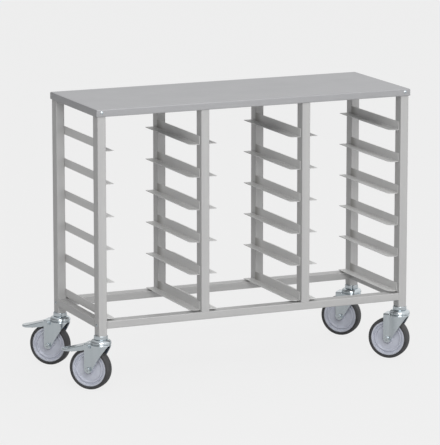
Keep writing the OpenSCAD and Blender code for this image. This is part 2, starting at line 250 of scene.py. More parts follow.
def hexed(rows: Sequence[tuple[float, float, float]], flat: float, steps: int = 72) -> Array:
    """Carries a profile round Y, part of it as a hexagon.

    A row's radius is (1 - k) r + k h. Here h is the hexagon's radius at that angle, which is flat over the
    cosine of the angle from the middle of the side.

    Args:
        rows: For each row the circle's radius r, the hexagon's share k and the height along Y.
        flat: Radius of the hexagon's inner circle.
        steps: Columns round the axis.

    Returns:
        A grid of rows by columns.
    """
    turn = np.linspace(0, 2 * math.pi, steps, endpoint=False)
    side = flat / np.cos((turn + math.pi / 6) % (math.pi / 3) - math.pi / 6)
    table = np.array(rows, float)
    radius = table[:, :1] * (1 - table[:, 1:2]) + side * table[:, 1:2]
    height = np.broadcast_to(table[:, 2:], radius.shape)
    return np.stack([radius * np.cos(turn), height, radius * np.sin(turn)], axis=-1)


def thicken(piece: bpy.types.Object, thickness: float, edge: float) -> None:
    """Gives a sheet its thickness behind its outer face, and breaks its cut edges.

    Args:
        piece: A sheet whose faces point outwards.
        thickness: Thickness in millimetres.
        edge: Width of the broken edge in millimetres.
    """
    wall = piece.modifiers.new("sheet", "SOLIDIFY")
    wall.thickness = thickness * MM
    wall.offset = -1
    wall.use_even_offset = True
    rounding = piece.modifiers.new("broken_edges", "BEVEL")
    rounding.width = edge * MM
    rounding.segments = 2
    rounding.limit_method = "ANGLE"
    rounding.angle_limit = math.radians(60)
    flatten(piece)


class Graph:
    """A shader node tree while it is wired."""

    def __init__(self, tree: bpy.types.NodeTree) -> None:
        """Keeps the tree and empties it."""
        self.tree = tree
        tree.nodes.clear()

    def add(self, kind: str, settings: dict[str, Any] | None = None, **inputs: Any) -> bpy.types.Node:
        """Adds a node.

        Args:
            kind: Blender's name of the node type.
            settings: Attributes of the node.
            inputs: Values or output sockets for its inputs, by name with _ for a space, or i0, i1 by place.

        Returns:
            The new node.
        """
        node = self.tree.nodes.new(kind)
        for name, value in (settings or {}).items():
            setattr(node, name, value)
        for name, value in inputs.items():
            by_place = name[0] == "i" and name[1:].isdigit()
            self.feed(node.inputs[int(name[1:]) if by_place else name.replace("_", " ")], value)
        return node

    def feed(self, socket: bpy.types.NodeSocket, value: Any) -> None:
        """Links an output to this input, or sets a plain value on it."""
        if isinstance(value, bpy.types.NodeSocket):
            self.tree.links.new(value, socket)
        else:
            socket.default_value = value

    def math(self, operation: str, *values: Any) -> bpy.types.NodeSocket:
        """Adds a Math node on these values and gives its output."""
        inputs = {f"i{k}": v for k, v in enumerate(values)}
        return self.add("ShaderNodeMath", {"operation": operation}, **inputs).outputs[0]

    def blend(self, share: Any, dark: Any, light: Any) -> bpy.types.NodeSocket:
        """Mixes two colours by a share and gives the colour."""
        node = self.add("ShaderNodeMix", {"data_type": "RGBA"})
        for place, value in ((0, share), (6, dark), (7, light)):
            self.feed(node.inputs[place], value)
        return node.outputs[2]

    def group(self, tree: bpy.types.NodeTree, **inputs: Any) -> bpy.types.Node:
        """Adds a shared node group with these inputs."""
        return self.add("ShaderNodeGroup", {"node_tree": tree}, **inputs)

    def noise(self, place: Any, scale: Any, detail: float, **inputs: Any) -> bpy.types.NodeSocket:
        """Adds a noise texture at these coordinates and gives its value."""
        node = self.add("ShaderNodeTexNoise", None, Vector=place, Scale=scale, Detail=detail, **inputs)
        return node.outputs[0]

    def axis(self, vector: Any, name: str) -> bpy.types.NodeSocket:
        """Gives one coordinate of a vector."""
        return self.add("ShaderNodeSeparateXYZ", None, i0=vector).outputs[name]


class Effects:
    """Node groups that several finishes share, each built once."""

    FINE_SHARE = 0.45
    BROAD_SHARE = 0.55
    PATCH_LEVELS = (0.35, 0.68)
    MOST_HEAT = 0.6

    def __init__(self) -> None:
        """Builds the groups."""
        self.grain = self._grain()
        self.clouds = self._clouds()
        self.heat = self._heat()

    @staticmethod
    def _start(name: str, inputs: dict[str, str], outputs: Sequence[str]) -> tuple[Graph, Any, Any]:
        """Makes an empty group with named sockets.

        Args:
            name: Name of the group.
            inputs: Socket type of each input, by name.
            outputs: Names of its outputs, all plain values.

        Returns:
            The group's graph, its input node and its output node.
        """
        tree = bpy.data.node_groups.new(name, "ShaderNodeTree")
        for label, kind in inputs.items():
            tree.interface.new_socket(name=label, in_out="INPUT", socket_type=kind)
        for label in outputs:
            tree.interface.new_socket(name=label, in_out="OUTPUT", socket_type="NodeSocketFloat")
        graph = Graph(tree)
        return graph, graph.add("NodeGroupInput"), graph.add("NodeGroupOutput")

    def _grain(self) -> bpy.types.NodeTree:
        """Drawn grain: fine and broad noise, stretched along the drawing direction."""
        sockets = {"Stretch": "NodeSocketVector", "Fine": "NodeSocketFloat", "Broad": "NodeSocketFloat"}
        graph, given, result = self._start("drawn_grain", sockets, ("Tone", "Height"))
        place = graph.add("ShaderNodeTexCoord").outputs["Object"]
        stretch = {"operation": "MULTIPLY"}
        drawn = graph.add("ShaderNodeVectorMath", stretch, i0=place, i1=given.outputs["Stretch"]).outputs[0]
        fine = graph.noise(drawn, given.outputs["Fine"], 4.0)
        broad = graph.noise(drawn, given.outputs["Broad"], 2.0)
        fine_part = graph.math("MULTIPLY", fine, self.FINE_SHARE)
        tone = graph.math("ADD", fine_part, graph.math("MULTIPLY", broad, self.BROAD_SHARE))
        graph.tree.links.new(tone, result.inputs["Tone"])
        graph.tree.links.new(fine, result.inputs["Height"])
        return graph.tree

    def _clouds(self) -> bpy.types.NodeTree:
        """Soft patches, such as handling marks or dull plating: broken noise between two levels."""
        graph, given, result = self._start("soft_patches", {"Scale": "NodeSocketFloat"}, ("Mask",))
        place = graph.add("ShaderNodeTexCoord").outputs["Object"]
        noise = graph.noise(place, given.outputs["Scale"], 5.0, Roughness=0.6)
        low, high = self.PATCH_LEVELS
        ramp = graph.add("ShaderNodeMapRange", None, Value=noise, From_Min=low, From_Max=high)
        graph.tree.links.new(ramp.outputs[0], result.inputs["Mask"])
        return graph.tree

    def _heat(self) -> bpy.types.NodeTree:
        """Heat tint and painted shade on upright faces across X, which rise between two places along Y."""
        sockets = {"Start": "NodeSocketFloat", "Full": "NodeSocketFloat"}
        graph, given, result = self._start("heat_tint_and_shade", sockets, ("Mask",))
        place = graph.axis(graph.add("ShaderNodeTexCoord").outputs["Object"], "Y")
        facing = graph.axis(graph.add("ShaderNodeNewGeometry").outputs["Normal"], "X")
        rise = graph.add(
            "ShaderNodeMapRange", {"interpolation_type": "SMOOTHSTEP"}, Value=place,
            From_Min=given.outputs["Start"], From_Max=given.outputs["Full"], To_Max=self.MOST_HEAT,
        )
        mask = graph.math("MULTIPLY", rise.outputs[0], graph.math("ABSOLUTE", facing))
        graph.tree.links.new(mask, result.inputs["Mask"])
        return graph.tree


# Colour of the heat tint and painted shade at the slides' welded ends, where the web meets its post.
WELD_TINT_AND_SHADE: Colour = (0.13, 0.12, 0.095, 1)
GRAIN_DEPTH = 0.0002
PEBBLE_DEPTH = 0.0004


@dataclass(frozen=True)
class Metal:
    """A metal finish: two tones of its grain, its roughness, its dull patches and the depth of its grain."""

    name: str
    dark: Colour
    light: Colour
    rough: float
    rough_grain: float
    rough_patches: float
    patch_scale: float
    fine: float
    broad: float
    bump: float
    metallic: float

    def dress(
        self, effects: Effects, grain: Grain, shaded_weld: tuple[float, float] | None = None
    ) -> bpy.types.Material:
        """Builds the finish's material.

        Args:
            effects: The shared node groups.
            grain: Direction of the grain.
            shaded_weld: Where along Y the heat tint and painted shade at a welded end begin and where they
                are full, in metres.

        Returns:
            The material.
        """
        material = bpy.data.materials.new(f"{self.name}_{grain.name.lower()}")
        material.use_nodes = True
        graph = Graph(material.node_tree)
        drawn = graph.group(effects.grain, Stretch=grain.value, Fine=self.fine, Broad=self.broad).outputs
        patches = graph.group(effects.clouds, Scale=self.patch_scale).outputs["Mask"]
        colour = graph.blend(drawn["Tone"], self.dark, self.light)
        # Heat tint and painted shade darken the webs at a welded end.
        if shaded_weld is not None:
            heat = graph.group(effects.heat, Start=shaded_weld[0], Full=shaded_weld[1])
            colour = graph.blend(heat.outputs["Mask"], colour, WELD_TINT_AND_SHADE)
        grainy = graph.math("MULTIPLY_ADD", drawn["Tone"], self.rough_grain, self.rough)
        rough = graph.math("MULTIPLY_ADD", patches, self.rough_patches, grainy)
        bump = graph.add(
            "ShaderNodeBump", None, Strength=self.bump, Distance=GRAIN_DEPTH, Height=drawn["Height"]
        )
        shader = graph.add(
            "ShaderNodeBsdfPrincipled", None,
            Base_Color=colour, Metallic=self.metallic, Roughness=rough, Normal=bump.outputs[0],
        )
        graph.add("ShaderNodeOutputMaterial", None, Surface=shader.outputs[0])
        return material


@dataclass(frozen=True)
class Moulded:
    """A moulded plastic or rubber finish: two tones in soft patches, its roughness and its fine surface."""

    name: str
    dark: Colour
    light: Colour
    rough: float
    rough_patches: float
    patch_scale: float
    pebble: float
    bump: float

    def dress(self, effects: Effects) -> bpy.types.Material:
        """Builds the finish's material.

        Args:
            effects: The shared node groups.

        Returns:
            The material.
        """
        material = bpy.data.materials.new(self.name)
        material.use_nodes = True
        graph = Graph(material.node_tree)
        patches = graph.group(effects.clouds, Scale=self.patch_scale).outputs["Mask"]
        colour = graph.blend(patches, self.dark, self.light)
        rough = graph.math("MULTIPLY_ADD", patches, self.rough_patches, self.rough)
        place = graph.add("ShaderNodeTexCoord").outputs["Object"]
        pebble = graph.noise(place, self.pebble, 3.0)
        bump = graph.add("ShaderNodeBump", None, Strength=self.bump, Distance=PEBBLE_DEPTH, Height=pebble)
        shader = graph.add(
            "ShaderNodeBsdfPrincipled", None, Base_Color=colour, Roughness=rough, Normal=bump.outputs[0]
        )
        graph.add("ShaderNodeOutputMaterial", None, Surface=shader.outputs[0])
        return material


STEEL = Metal(
    name="satin_steel",
    dark=(0.44, 0.44, 0.44, 1),
    light=(0.56, 0.557, 0.553, 1),
    rough=0.40,
    rough_grain=0.12,
    rough_patches=0.08,
    patch_scale=7.0,
    fine=900.0,
    broad=90.0,
    bump=0.25,
    metallic=0.55,
)
SLIDE_STEEL = replace(
    STEEL,
    name="slide_steel",
    dark=(0.60, 0.60, 0.595, 1),
    light=(0.72, 0.718, 0.712, 1),
    rough=0.46,
    metallic=0.40,
)
TOP_STEEL = replace(
    STEEL, name="top_steel", dark=(0.345, 0.347, 0.358, 1), light=(0.45, 0.452, 0.463, 1), metallic=0.65
)
ZINC = Metal(
    name="bright_zinc",
    dark=(0.48, 0.53, 0.56, 1),
    light=(0.66, 0.71, 0.74, 1),
    rough=0.13,
    rough_grain=0.06,
    rough_patches=0.05,
    patch_scale=60.0,
    fine=400.0,
    broad=60.0,
    bump=0.05,
    metallic=1.0,
)
WHEEL_PLASTIC = Moulded(
    name="wheel_plastic",
    dark=(0.47, 0.49, 0.56, 1),
    light=(0.56, 0.58, 0.65, 1),
    rough=0.34,
    rough_patches=0.15,
    patch_scale=40.0,
    pebble=2200.0,
    bump=0.12,
)
TYRE_RUBBER = Moulded(
    name="tyre_rubber",
    dark=(0.035, 0.035, 0.037, 1),
    light=(0.06, 0.06, 0.062, 1),
    rough=0.55,
    rough_patches=0.2,
    patch_scale=60.0,
    pebble=1800.0,
    bump=0.35,
)
# Where along Y the heat tint and painted shade at the slides' welded ends begin and where they are full, in
# metres
SHADED_WELDS = {"left": (-0.128, -0.181), "right": (0.064, 0.117)}


class Finishes:
    """All materials of the trolley, built once."""

    def __init__(self) -> None:
        """Builds the shared effects and every finish."""
        effects = Effects()
        self.steel = {grain: STEEL.dress(effects, grain) for grain in Grain}
        self.top = TOP_STEEL.dress(effects, Grain.ALONG_X)
        self.slides = {side: SLIDE_STEEL.dress(effects, Grain.ALONG_Y, shaded_weld) for side, shaded_weld in SHADED_WELDS.items()}
        self.zinc = ZINC.dress(effects, Grain.ALONG_Z)
        self.plastic = WHEEL_PLASTIC.dress(effects)
        self.rubber = TYRE_RUBBER.dress(effects)


def coat(piece: bpy.types.Object, material: bpy.types.Material) -> None:
    """Puts one material in all of a piece's slots."""
    if not piece.material_slots:
        piece.data.materials.append(material)
    for slot in piece.material_slots:
        slot.material = material


def fit(piece: bpy.types.Object, body: str, slot: Slot, material: bpy.types.Material, *nodes: str) -> None:
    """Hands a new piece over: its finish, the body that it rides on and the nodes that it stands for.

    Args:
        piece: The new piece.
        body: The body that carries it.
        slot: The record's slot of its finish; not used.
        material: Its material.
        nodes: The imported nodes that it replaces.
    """
    coat(piece, material)
    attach(piece, body)
    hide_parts(*nodes)
    LOG.info("%s rides on %s, %d faces", piece.name, body, len(piece.data.polygons))


def box_mm(node: str) -> tuple[Array, Array]:
    """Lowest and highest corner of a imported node, in millimetres."""
    low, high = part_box(node)
    return np.array(low) / MM, np.array(high) / MM


@dataclass
class FoldedTop:
    """The top: a sheet with its rims folded down and their lower edges hemmed."""

    finishes: Finishes
    sheet: float = 1.5
    bend: float = 2.5
    hem: float = 6.0
    hem_bend: float = 1.6
    hem_ends: float = 36.0
    lower_round: float = 5.0
    broken_edge: float = 0.25
    bend_steps: int = 7
    rim_steps: int = 24

    def build(self) -> None:
        """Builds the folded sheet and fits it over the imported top."""
        low, high = box_mm("top_panel")
        skin = Skin()
        skin.add(self.plate(low, high), flip=True)
        for side in (-1, 1):
            skin.add(self.long_rim(low, high, side), flip=side < 0)
            skin.add(self.side_rim(low, high, side), flip=side > 0)
            skin.add(self.side_hem(low, high, side), flip=side > 0)
        piece = skin.make("folded_top", shell=False)
        thicken(piece, self.sheet, self.broken_edge)
        fit(piece, "frame", Slot.STEEL, self.finishes.top, "top_panel")

    def edge(self, low: float, high: float) -> tuple[Array, Array]:
        """Places and drops across the sheet: a quarter bend at each end of a flat.

        Args:
            low: Lowest place.
            high: Highest place.

        Returns:
            The places and how far below the flat each of them lies.
        """
        turn = np.linspace(math.pi / 2, 0, self.bend_steps)
        inset = self.bend * (1 - np.sin(turn))
        drop = self.bend * (1 - np.cos(turn))
        middle = np.linspace(low + self.bend, high - self.bend, 9)[1:-1]
        places = np.concatenate([low + inset, middle, (high - inset)[::-1]])
        return places, np.concatenate([drop, np.zeros(len(middle)), drop[::-1]])

    def plate(self, low: Array, high: Array) -> Array:
        """The flat with its four bends: height is the top less the drops across X and across Y."""
        x, drop_x = self.edge(low[0], high[0])
        y, drop_y = self.edge(low[1], high[1])
        return spread_out(x[:, None], y, high[2] - drop_x[:, None] - drop_y)

    def hem_line(self, low: float) -> tuple[Array, Array]:
        """Inset and height of a hem: half a turn inwards at the rim's foot, then straight up."""
        turn = np.linspace(0, math.pi, 9)
        inset = np.append(self.hem_bend * (1 - np.cos(turn)), 2 * self.hem_bend)
        height = np.append(low + self.hem_bend * (1 - np.sin(turn)), low + self.hem)
        return inset, height

    def long_rim(self, low: Array, high: Array, side: int) -> Array:
        """The rim of a long side over its full width, with its hem, as a profile carried along X."""
        x, drop = self.edge(low[0], high[0])
        inset, height = self.hem_line(low[2])
        top = high[2] - self.bend - drop
        wall = np.linspace(0, 1, 4)[:-1, None]
        upper = top * (1 - wall) + (low[2] + self.hem_bend) * wall
        rise = np.concatenate([upper, np.tile(height[:, None], len(x))])
        inward = np.concatenate([np.zeros(len(wall)), inset])[:, None]
        return spread_out(x, (high[1] if side > 0 else low[1]) - side * inward, rise)

    def side_rim(self, low: Array, high: Array, side: int) -> Array:
        """The rim of a short side, whose lower corners are rounded, between two open seams."""
        start, end = low[1] + self.bend, high[1] - self.bend
        turn = np.linspace(0, math.pi / 2, 8)
        round_in = self.lower_round * (1 - np.cos(turn))
        middle = np.linspace(start + self.lower_round, end - self.lower_round, self.rim_steps)[1:-1]
        y = np.concatenate([start + round_in, middle, (end - round_in)[::-1]])
        round_up = self.lower_round * (1 - np.sin(turn))
        foot = low[2] + np.concatenate([round_up, np.zeros(len(middle)), round_up[::-1]])
        share = np.linspace(0, 1, 5)[:, None]
        rise = (high[2] - self.bend) * (1 - share) + foot * share
        return spread_out(high[0] if side > 0 else low[0], y, rise)

    def side_hem(self, low: Array, high: Array, side: int) -> Array:
        """The hem of a short side, between the corner posts."""
        inset, height = self.hem_line(low[2])
        y = np.linspace(low[1] + self.hem_ends, high[1] - self.hem_ends, 2)
        across = (high[0] if side > 0 else low[0]) - side * inset[:, None]
        return spread_out(across, y, height[:, None])


@dataclass
class TrayRack:
    """The tray slides: folded angles, each with one rounded corner, six to a side of a bay."""

    finishes: Finishes
    sheet: float = 1.5
    bend: float = 2.5
    web: float = 26.0
    low_web: float = 14.0
    web_start: float = 25.0
    flange: float = 29.0
    corner: float = 20.0
    levels: int = 6
    first_rise: float = 107.0
    pitch: float = 97.0
    broken_edge: float = 0.25
    bend_steps: int = 7
    round_steps: int = 14
    along_steps: int = 12

    def build(self) -> None:
        """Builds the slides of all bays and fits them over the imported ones."""
        for bay in (1, 2, 3):
            for side, turn in (("left", 1), ("right", -1)):
                node = f"slides_bay{bay}_{side}"
                low, high = box_mm(node)
                base = np.array([low[0] if turn > 0 else high[0], (low[1] + high[1]) / 2, low[2]])
                skin = Skin()
                web = self.low_web if turn > 0 and bay > 1 else self.web
                for sheet in self.angle(high[1] - low[1], web):
                    for level in range(self.levels):
                        lift = self.first_rise + (level - 1) * self.pitch if level else 0.0
                        skin.add(base + sheet * np.array([turn, turn, 1]) + np.array([0, 0, lift]))
                piece = skin.make(f"tray_slides_bay{bay}_{side}", shell=False)
                thicken(piece, self.sheet, self.broken_edge)
                fit(piece, "frame", Slot.STEEL, self.finishes.slides[side], node)

    def angle(self, length: float, web: float) -> list[Array]:
        """Outer face of one slide: an upright web that starts behind the post, a bend and a longer flange.

        The far end of the flange follows the rounded corner: its reach is less by r - sqrt(r^2 - d^2). Here d
        is how far a point lies past the corner's centre.

        Args:
            length: Length of the slide.
            web: Height of its web.

        Returns:
            Three grids: the web with its bend, the flange, and the strip beside it where there is no web.
        """
        turn = np.linspace(0, math.pi / 2, self.bend_steps)
        cut = self.web_start - length / 2
        share = np.linspace(0, 1, self.along_steps)
        early = np.linspace(-length / 2, cut, 4)
        side = np.concatenate([np.zeros(3), self.bend * (1 - np.cos(turn))])
        rise = np.concatenate([np.linspace(web, self.bend, 4)[:3], self.bend * (1 - np.sin(turn))])
        centre = self.flange - self.corner
        spread = centre + self.corner * np.sin(np.linspace(0, math.pi / 2, self.round_steps))
        across = np.append(self.bend, spread)
        past = np.clip(across - centre, 0, None)
        reach = length / 2 - self.corner + np.sqrt(np.clip(self.corner**2 - past**2, 0, None))
        late = cut + (reach[:, None] - cut) * share
        deep = np.concatenate([np.tile(early[:-1], (len(across), 1)), late], axis=1)
        return [
            spread_out(side[:, None], cut + (length / 2 - cut) * share, rise[:, None]),
            spread_out(across[:, None], deep, 0.0),
            spread_out(np.array([[0.0], [self.bend]]), early, 0.0),
        ]


@dataclass
class Caster:
    """One swivel caster: stem, bearing housing, pressed fork, wheel, axle and, on the left, a brake pedal."""

    finishes: Finishes
    corner: Corner
    turn_deg: float = -45.0
    trail: float = 33.0
    wheel_r: float = 62.5
    tyre_half: float = 16.0
    rim_r: float = 53.0
    crown_z: float = 138.5
    back_rise: float = 1.5
    crown_r: float = 30.0
    fork_half: float = 21.5
    fork_sheet: float = 2.5
    fork_bend: float = 4.0
    fork_edge: float = 0.4
    leg_r: float = 12.0
    leg_fore: float = 8.0
    slant_deg: float = 57.0
    cup_r: float = 32.0
    cup_blend: float = 2.0
    back_span: tuple[float, float] = (12.0, 20.0)
    housing_r: float = 31.0
    housing_z: float = 138.8
    housing_h: float = 13.0
    race_inner: float = 18.0
    race_outer: float = 26.0
    race_depth: float = 6.0
    collar_r: float = 20.5
    collar_h: float = 12.0
    king_r: float = 6.0
    axle_r: float = 4.0
    play: float = 0.05
    shoulder_r: float = 6.0
    nut_flat: float = 6.06
    head_h: float = 5.0
    nut_h: float = 6.5
    pedal_reach: float = 91.0
    pedal_half: float = 23.6
    pedal_sheet: float = 1.8
    pedal_edge: float = 0.3
    pedal_bend: float = 3.0
    tip_r: float = 24.0
    heel_back: float = 13.2
    heel_top: float = 3.0
    heel_low: float = 19.2
    pivot_back: float = 1.0
    pivot_z: float = 130.5
    ear_r: float = 8.0
    plug: Place = (22.6, 32.6, 40.0)
    turn_steps: int = 96

    def __post_init__(self) -> None:
        """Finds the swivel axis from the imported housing."""
        low, high = box_mm(f"housing_{self.corner.label}")
        self.axis = np.array([(low[0] + high[0]) / 2, (low[1] + high[1]) / 2, 0.0])
        self.axle = np.array([-self.trail, 0, self.wheel_r])

    def swivelled(self, grid: Array) -> Array:
        """Turns a grid about the swivel axis as the caster stands, and puts it under its post."""
        turn = math.radians(self.turn_deg)
        across = grid[..., 0] * math.cos(turn) - grid[..., 1] * math.sin(turn)
        deep = grid[..., 0] * math.sin(turn) + grid[..., 1] * math.cos(turn)
        return np.stack([across, deep, grid[..., 2]], axis=-1) + self.axis

    def build(self) -> None:
        """Builds and fits all pieces of the caster."""
        label = self.corner.label
        zinc, frame, swivel, wheel = self.finishes.zinc, "frame", f"swivel_{label}", f"wheel_{label}"
        for name, skin, node, body in (
            ("bearing_housing", self.housing(), "housing", frame),
            ("collar_and_plug", self.stem(), "stem", frame),
            ("axle_bolt", self.bolt(), "axle", swivel),
            ("axle_nut", self.nut(), "nut", swivel),
        ):
            fit(skin.make(f"{name}_{label}"), body, Slot.ZINC, zinc, f"{node}_{label}")
        fork = self.fork().make(f"pressed_fork_{label}", shell=False)
        thicken(fork, self.fork_sheet, self.fork_edge)
        fit(fork, swivel, Slot.ZINC, zinc, f"fork_{label}")
        rim, tyre = self.rim().make(f"wheel_rim_{label}"), self.tyre().make(f"wheel_tyre_{label}")
        fit(rim, wheel, Slot.PLASTIC, self.finishes.plastic, f"rim_{label}")
        fit(tyre, wheel, Slot.RUBBER, self.finishes.rubber, f"tyre_{label}")
        if self.corner.braked:
            pedal = self.pedal().make(f"brake_pedal_{label}", shell=False)
            thicken(pedal, self.pedal_sheet, self.pedal_edge)
            fit(pedal, f"brake_{label}", Slot.ZINC, zinc, f"pedal_{label}")

    def housing(self) -> Skin:
        """The bearing housing: a dome with a rolled foot and a ball race, turned round the swivel axis."""
        bend = self.housing_r - self.collar_r
        arc = np.linspace(math.radians(8), math.pi / 2, 14)
        foot = self.housing_h - bend
        dome = np.stack([self.collar_r + bend * np.cos(arc), foot + bend * np.sin(arc)], axis=-1)
        outer, bore, depth = self.housing_r, self.king_r + self.play, self.race_depth
        start = [(outer - 1.4, 0.0), (outer, 0.7), (outer, foot - 0.6), (outer - 0.6, foot + 0.2)]
        end = [
            (bore, self.housing_h), (bore, 0), (self.race_inner, 0), (self.race_inner, depth),
            (self.race_outer, depth), (self.race_outer, 0),
        ]
        profile = np.concatenate([np.array(start), dome, np.array(end)])
        profile[:, 1] += self.housing_z
        return Skin().add(turned(profile, self.turn_steps) + self.axis, around=True, closed=True)

    def stem(self) -> Skin:
        """The collar with its king pin and riveted head, turned, and the plug that holds it in the post."""
        foot = self.housing_z + self.housing_h
        top = foot + self.collar_h
        head = self.crown_z - self.fork_sheet - 0.3
        line = [
            (0, top), (self.collar_r - 1, top), (self.collar_r, top - 1.2), (self.collar_r, foot + 1.6),
            (self.collar_r - 0.8, foot), (self.king_r, foot), (self.king_r, head), (self.king_r + 4, head),
            (self.king_r + 4, head - 1.6), (0, head - 3),
        ]
        skin = Skin().add(turned(soften(line, 0.8, closed=False), self.turn_steps) + self.axis, around=True)
        wide, deep, tall = self.plug
        half = [(wide / 2, deep / 2), (-wide / 2, deep / 2), (-wide / 2, -deep / 2), (wide / 2, -deep / 2)]
        loop = soften(half, 2.5)
        shrink = np.array([0, 0.94, 1, 1, 0])[:, None]
        height = np.array([tall, tall, tall - 1, 0, 0])[:, None] + top
        return skin.add(spread_out(loop[:, 0] * shrink, loop[:, 1] * shrink, height) + self.axis, around=True)

    def outline(self) -> tuple[Array, Array]:
        """Plan of the fork's outer face: legs that flare out to a round front about the swivel axis.

        Returns:
            The points, n by 2, and the outward direction at each of them.
        """
        knee = np.array([self.leg_fore - self.trail, self.fork_half])
        touch = math.atan2(knee[1], knee[0]) - math.acos(self.crown_r / np.linalg.norm(knee))
        share = (1 - np.cos(np.linspace(0, math.pi, 26))) / 2
        leg_x = -self.trail - self.leg_r + (knee[0] + self.trail + self.leg_r) * share
        leg = np.stack([leg_x, np.full(len(leg_x), self.fork_half)], axis=-1)
        far = self.crown_r * np.array([math.cos(touch), math.sin(touch)])
        flare = knee + (far - knee) * np.linspace(0, 1, 12)[1:-1, None]
        turn = np.linspace(touch, 0, 30)
        front = self.crown_r * np.stack([np.cos(turn), np.sin(turn)], axis=-1)
        half = np.concatenate([leg, flare, front])
        whole = np.concatenate([half, (half * np.array([1, -1]))[-2::-1]])
        along = np.gradient(whole, axis=0)
        along /= np.linalg.norm(along, axis=1, keepdims=True)
        return whole, np.stack([-along[:, 1], along[:, 0]], axis=-1)

    def fork(self) -> Skin:
        """The fork: a top plate that bends over its outline into walls down to the slanting lower edge."""
        plan, out = self.outline()
        bend = self.fork_bend
        rest = plan - out * bend
        spine = np.stack([np.minimum(plan[:, 0], 0), np.zeros(len(plan))], axis=-1)
        rows, folds, walls = 8, 7, 7
        end = rows + folds
        share = np.linspace(0, 1, rows + 1)[:-1, None, None]
        plate = spine * (1 - share) + rest * share
        turn = np.linspace(0, math.pi / 2, folds)[:, None, None]
        fold = rest + out * bend * np.sin(turn)
        wall = np.broadcast_to(plan, (walls,) + plan.shape)
        flat = np.concatenate([plate, fold, wall])
        behind = smooth(-flat[..., 0], *self.back_span)
        outside = smooth(np.hypot(flat[..., 0], flat[..., 1]), self.cup_r, self.cup_r + self.cup_blend)
        top = self.crown_z + self.back_rise * (outside * behind)
        drop = np.zeros((len(flat), 1))
        drop[rows:end, 0] = bend * (1 - np.cos(turn[:, 0, 0]))
        upper = top[end - 1] - bend
        lower = np.minimum(self.fork_foot(plan[:, 0]), upper - 0.2)
        fall = np.linspace(0, 1, walls + 1)[1:, None]
        height = np.concatenate([top[:end] - drop[:end], upper * (1 - fall) + lower * fall])
        return Skin().add(self.swivelled(np.concatenate([flat, height[..., None]], axis=-1)))

    def fork_foot(self, x: Array) -> Array:
        """Height of the fork's lower edge: a round end about the axle, then a slant up to the crown's lip."""
        slant = math.radians(self.slant_deg)
        foot_x = self.leg_r * math.sin(slant) - self.trail
        foot_z = self.wheel_r - self.leg_r * math.cos(slant)
        around = self.wheel_r - np.sqrt(np.clip(self.leg_r**2 - (x + self.trail) ** 2, 0, None))
        return np.where(x < foot_x, around, foot_z + (x - foot_x) * math.tan(slant))

    def bolt(self) -> Skin:
        """The axle bolt: a chamfered six-sided head in front, its shank through the wheel and the nut."""
        head, flat = -self.fork_half - self.head_h, self.nut_flat
        end = self.fork_half + self.nut_h
        rows = [
            (0, 0, head + 0.5), (flat * 0.62, 0, head + 0.5), (flat * 0.72, 0, head), (flat * 0.96, 0, head),
            (0, 1, head + 0.6), (0, 1, -self.fork_half), (self.axle_r, 0, -self.fork_half),
            (self.axle_r, 0, end - 0.8), (self.axle_r - 0.8, 0, end), (0, 0, end),
        ]
        return Skin().add(self.swivelled(hexed(rows, flat) + self.axle), around=True)

    def nut(self) -> Skin:
        """The axle nut: a chamfered hexagon with a round locking collar, round the bolt's end."""
        base, bore, flat = self.fork_half, self.axle_r + self.play, self.nut_flat
        shoulder, end = base + self.nut_h * 0.7, base + self.nut_h
        rows = [
            (bore, 0, base), (flat * 0.94, 0, base), (0, 1, base + 0.5), (0, 1, shoulder - 0.6),
            (flat * 0.94, 0, shoulder), (flat * 0.86, 0, shoulder + 0.1), (flat * 0.84, 0, end - 0.5),
            (flat * 0.76, 0, end), (bore, 0, end),
        ]
        return Skin().add(self.swivelled(hexed(rows, flat) + self.axle), around=True, closed=True)

    def rim(self) -> Skin:
        """The wheel's rim: hub, web, raised ring, groove and lip, with soft edges, turned round the axle."""
        bore, rim = self.axle_r + self.play, self.rim_r
        half = [
            (bore, 18), (12, 18), (15, 9), (rim - 16, 8), (rim - 14.5, 12), (rim - 11, 12), (rim - 9.5, 9),
            (rim - 7, 9), (rim - 5.5, 14.5), (rim - 1, 14.5), (rim, 13.5),
        ]
        whole = half + [(r, -y) for r, y in reversed(half)]
        grid = turned(soften(whole, 0.9), self.turn_steps, along_y=True)
        return Skin().add(self.swivelled(grid + self.axle), around=True, closed=True)

    def tyre(self) -> Skin:
        """The tyre: round shoulders, a slightly crowned tread and a fine ridge on each side, turned."""
        side, rim, tread, shoulder = self.tyre_half, self.rim_r, self.wheel_r, self.shoulder_r
        arc = np.linspace(0, math.pi / 2, 9)
        wall = [
            (rim, side - 0.6), (rim + 0.6, side), (rim + 1.6, side),
            (rim + 2.0, side - 0.4), (rim + 2.8, side - 0.4), (rim + 3.2, side),
        ]
        radius = tread - 0.25 - shoulder * (1 - np.sin(arc))
        round_off = np.stack([radius, side - shoulder * (1 - np.cos(arc))], axis=-1)
        crown = [[tread - 0.08, side - shoulder - 5], [tread, 0]]
        half = np.concatenate([np.array(wall), round_off, crown])
        other = (half * np.array([1, -1]))[-2::-1]
        grid = turned(np.concatenate([half, other]), self.turn_steps, along_y=True)
        return Skin().add(self.swivelled(grid + self.axle), around=True, closed=True)

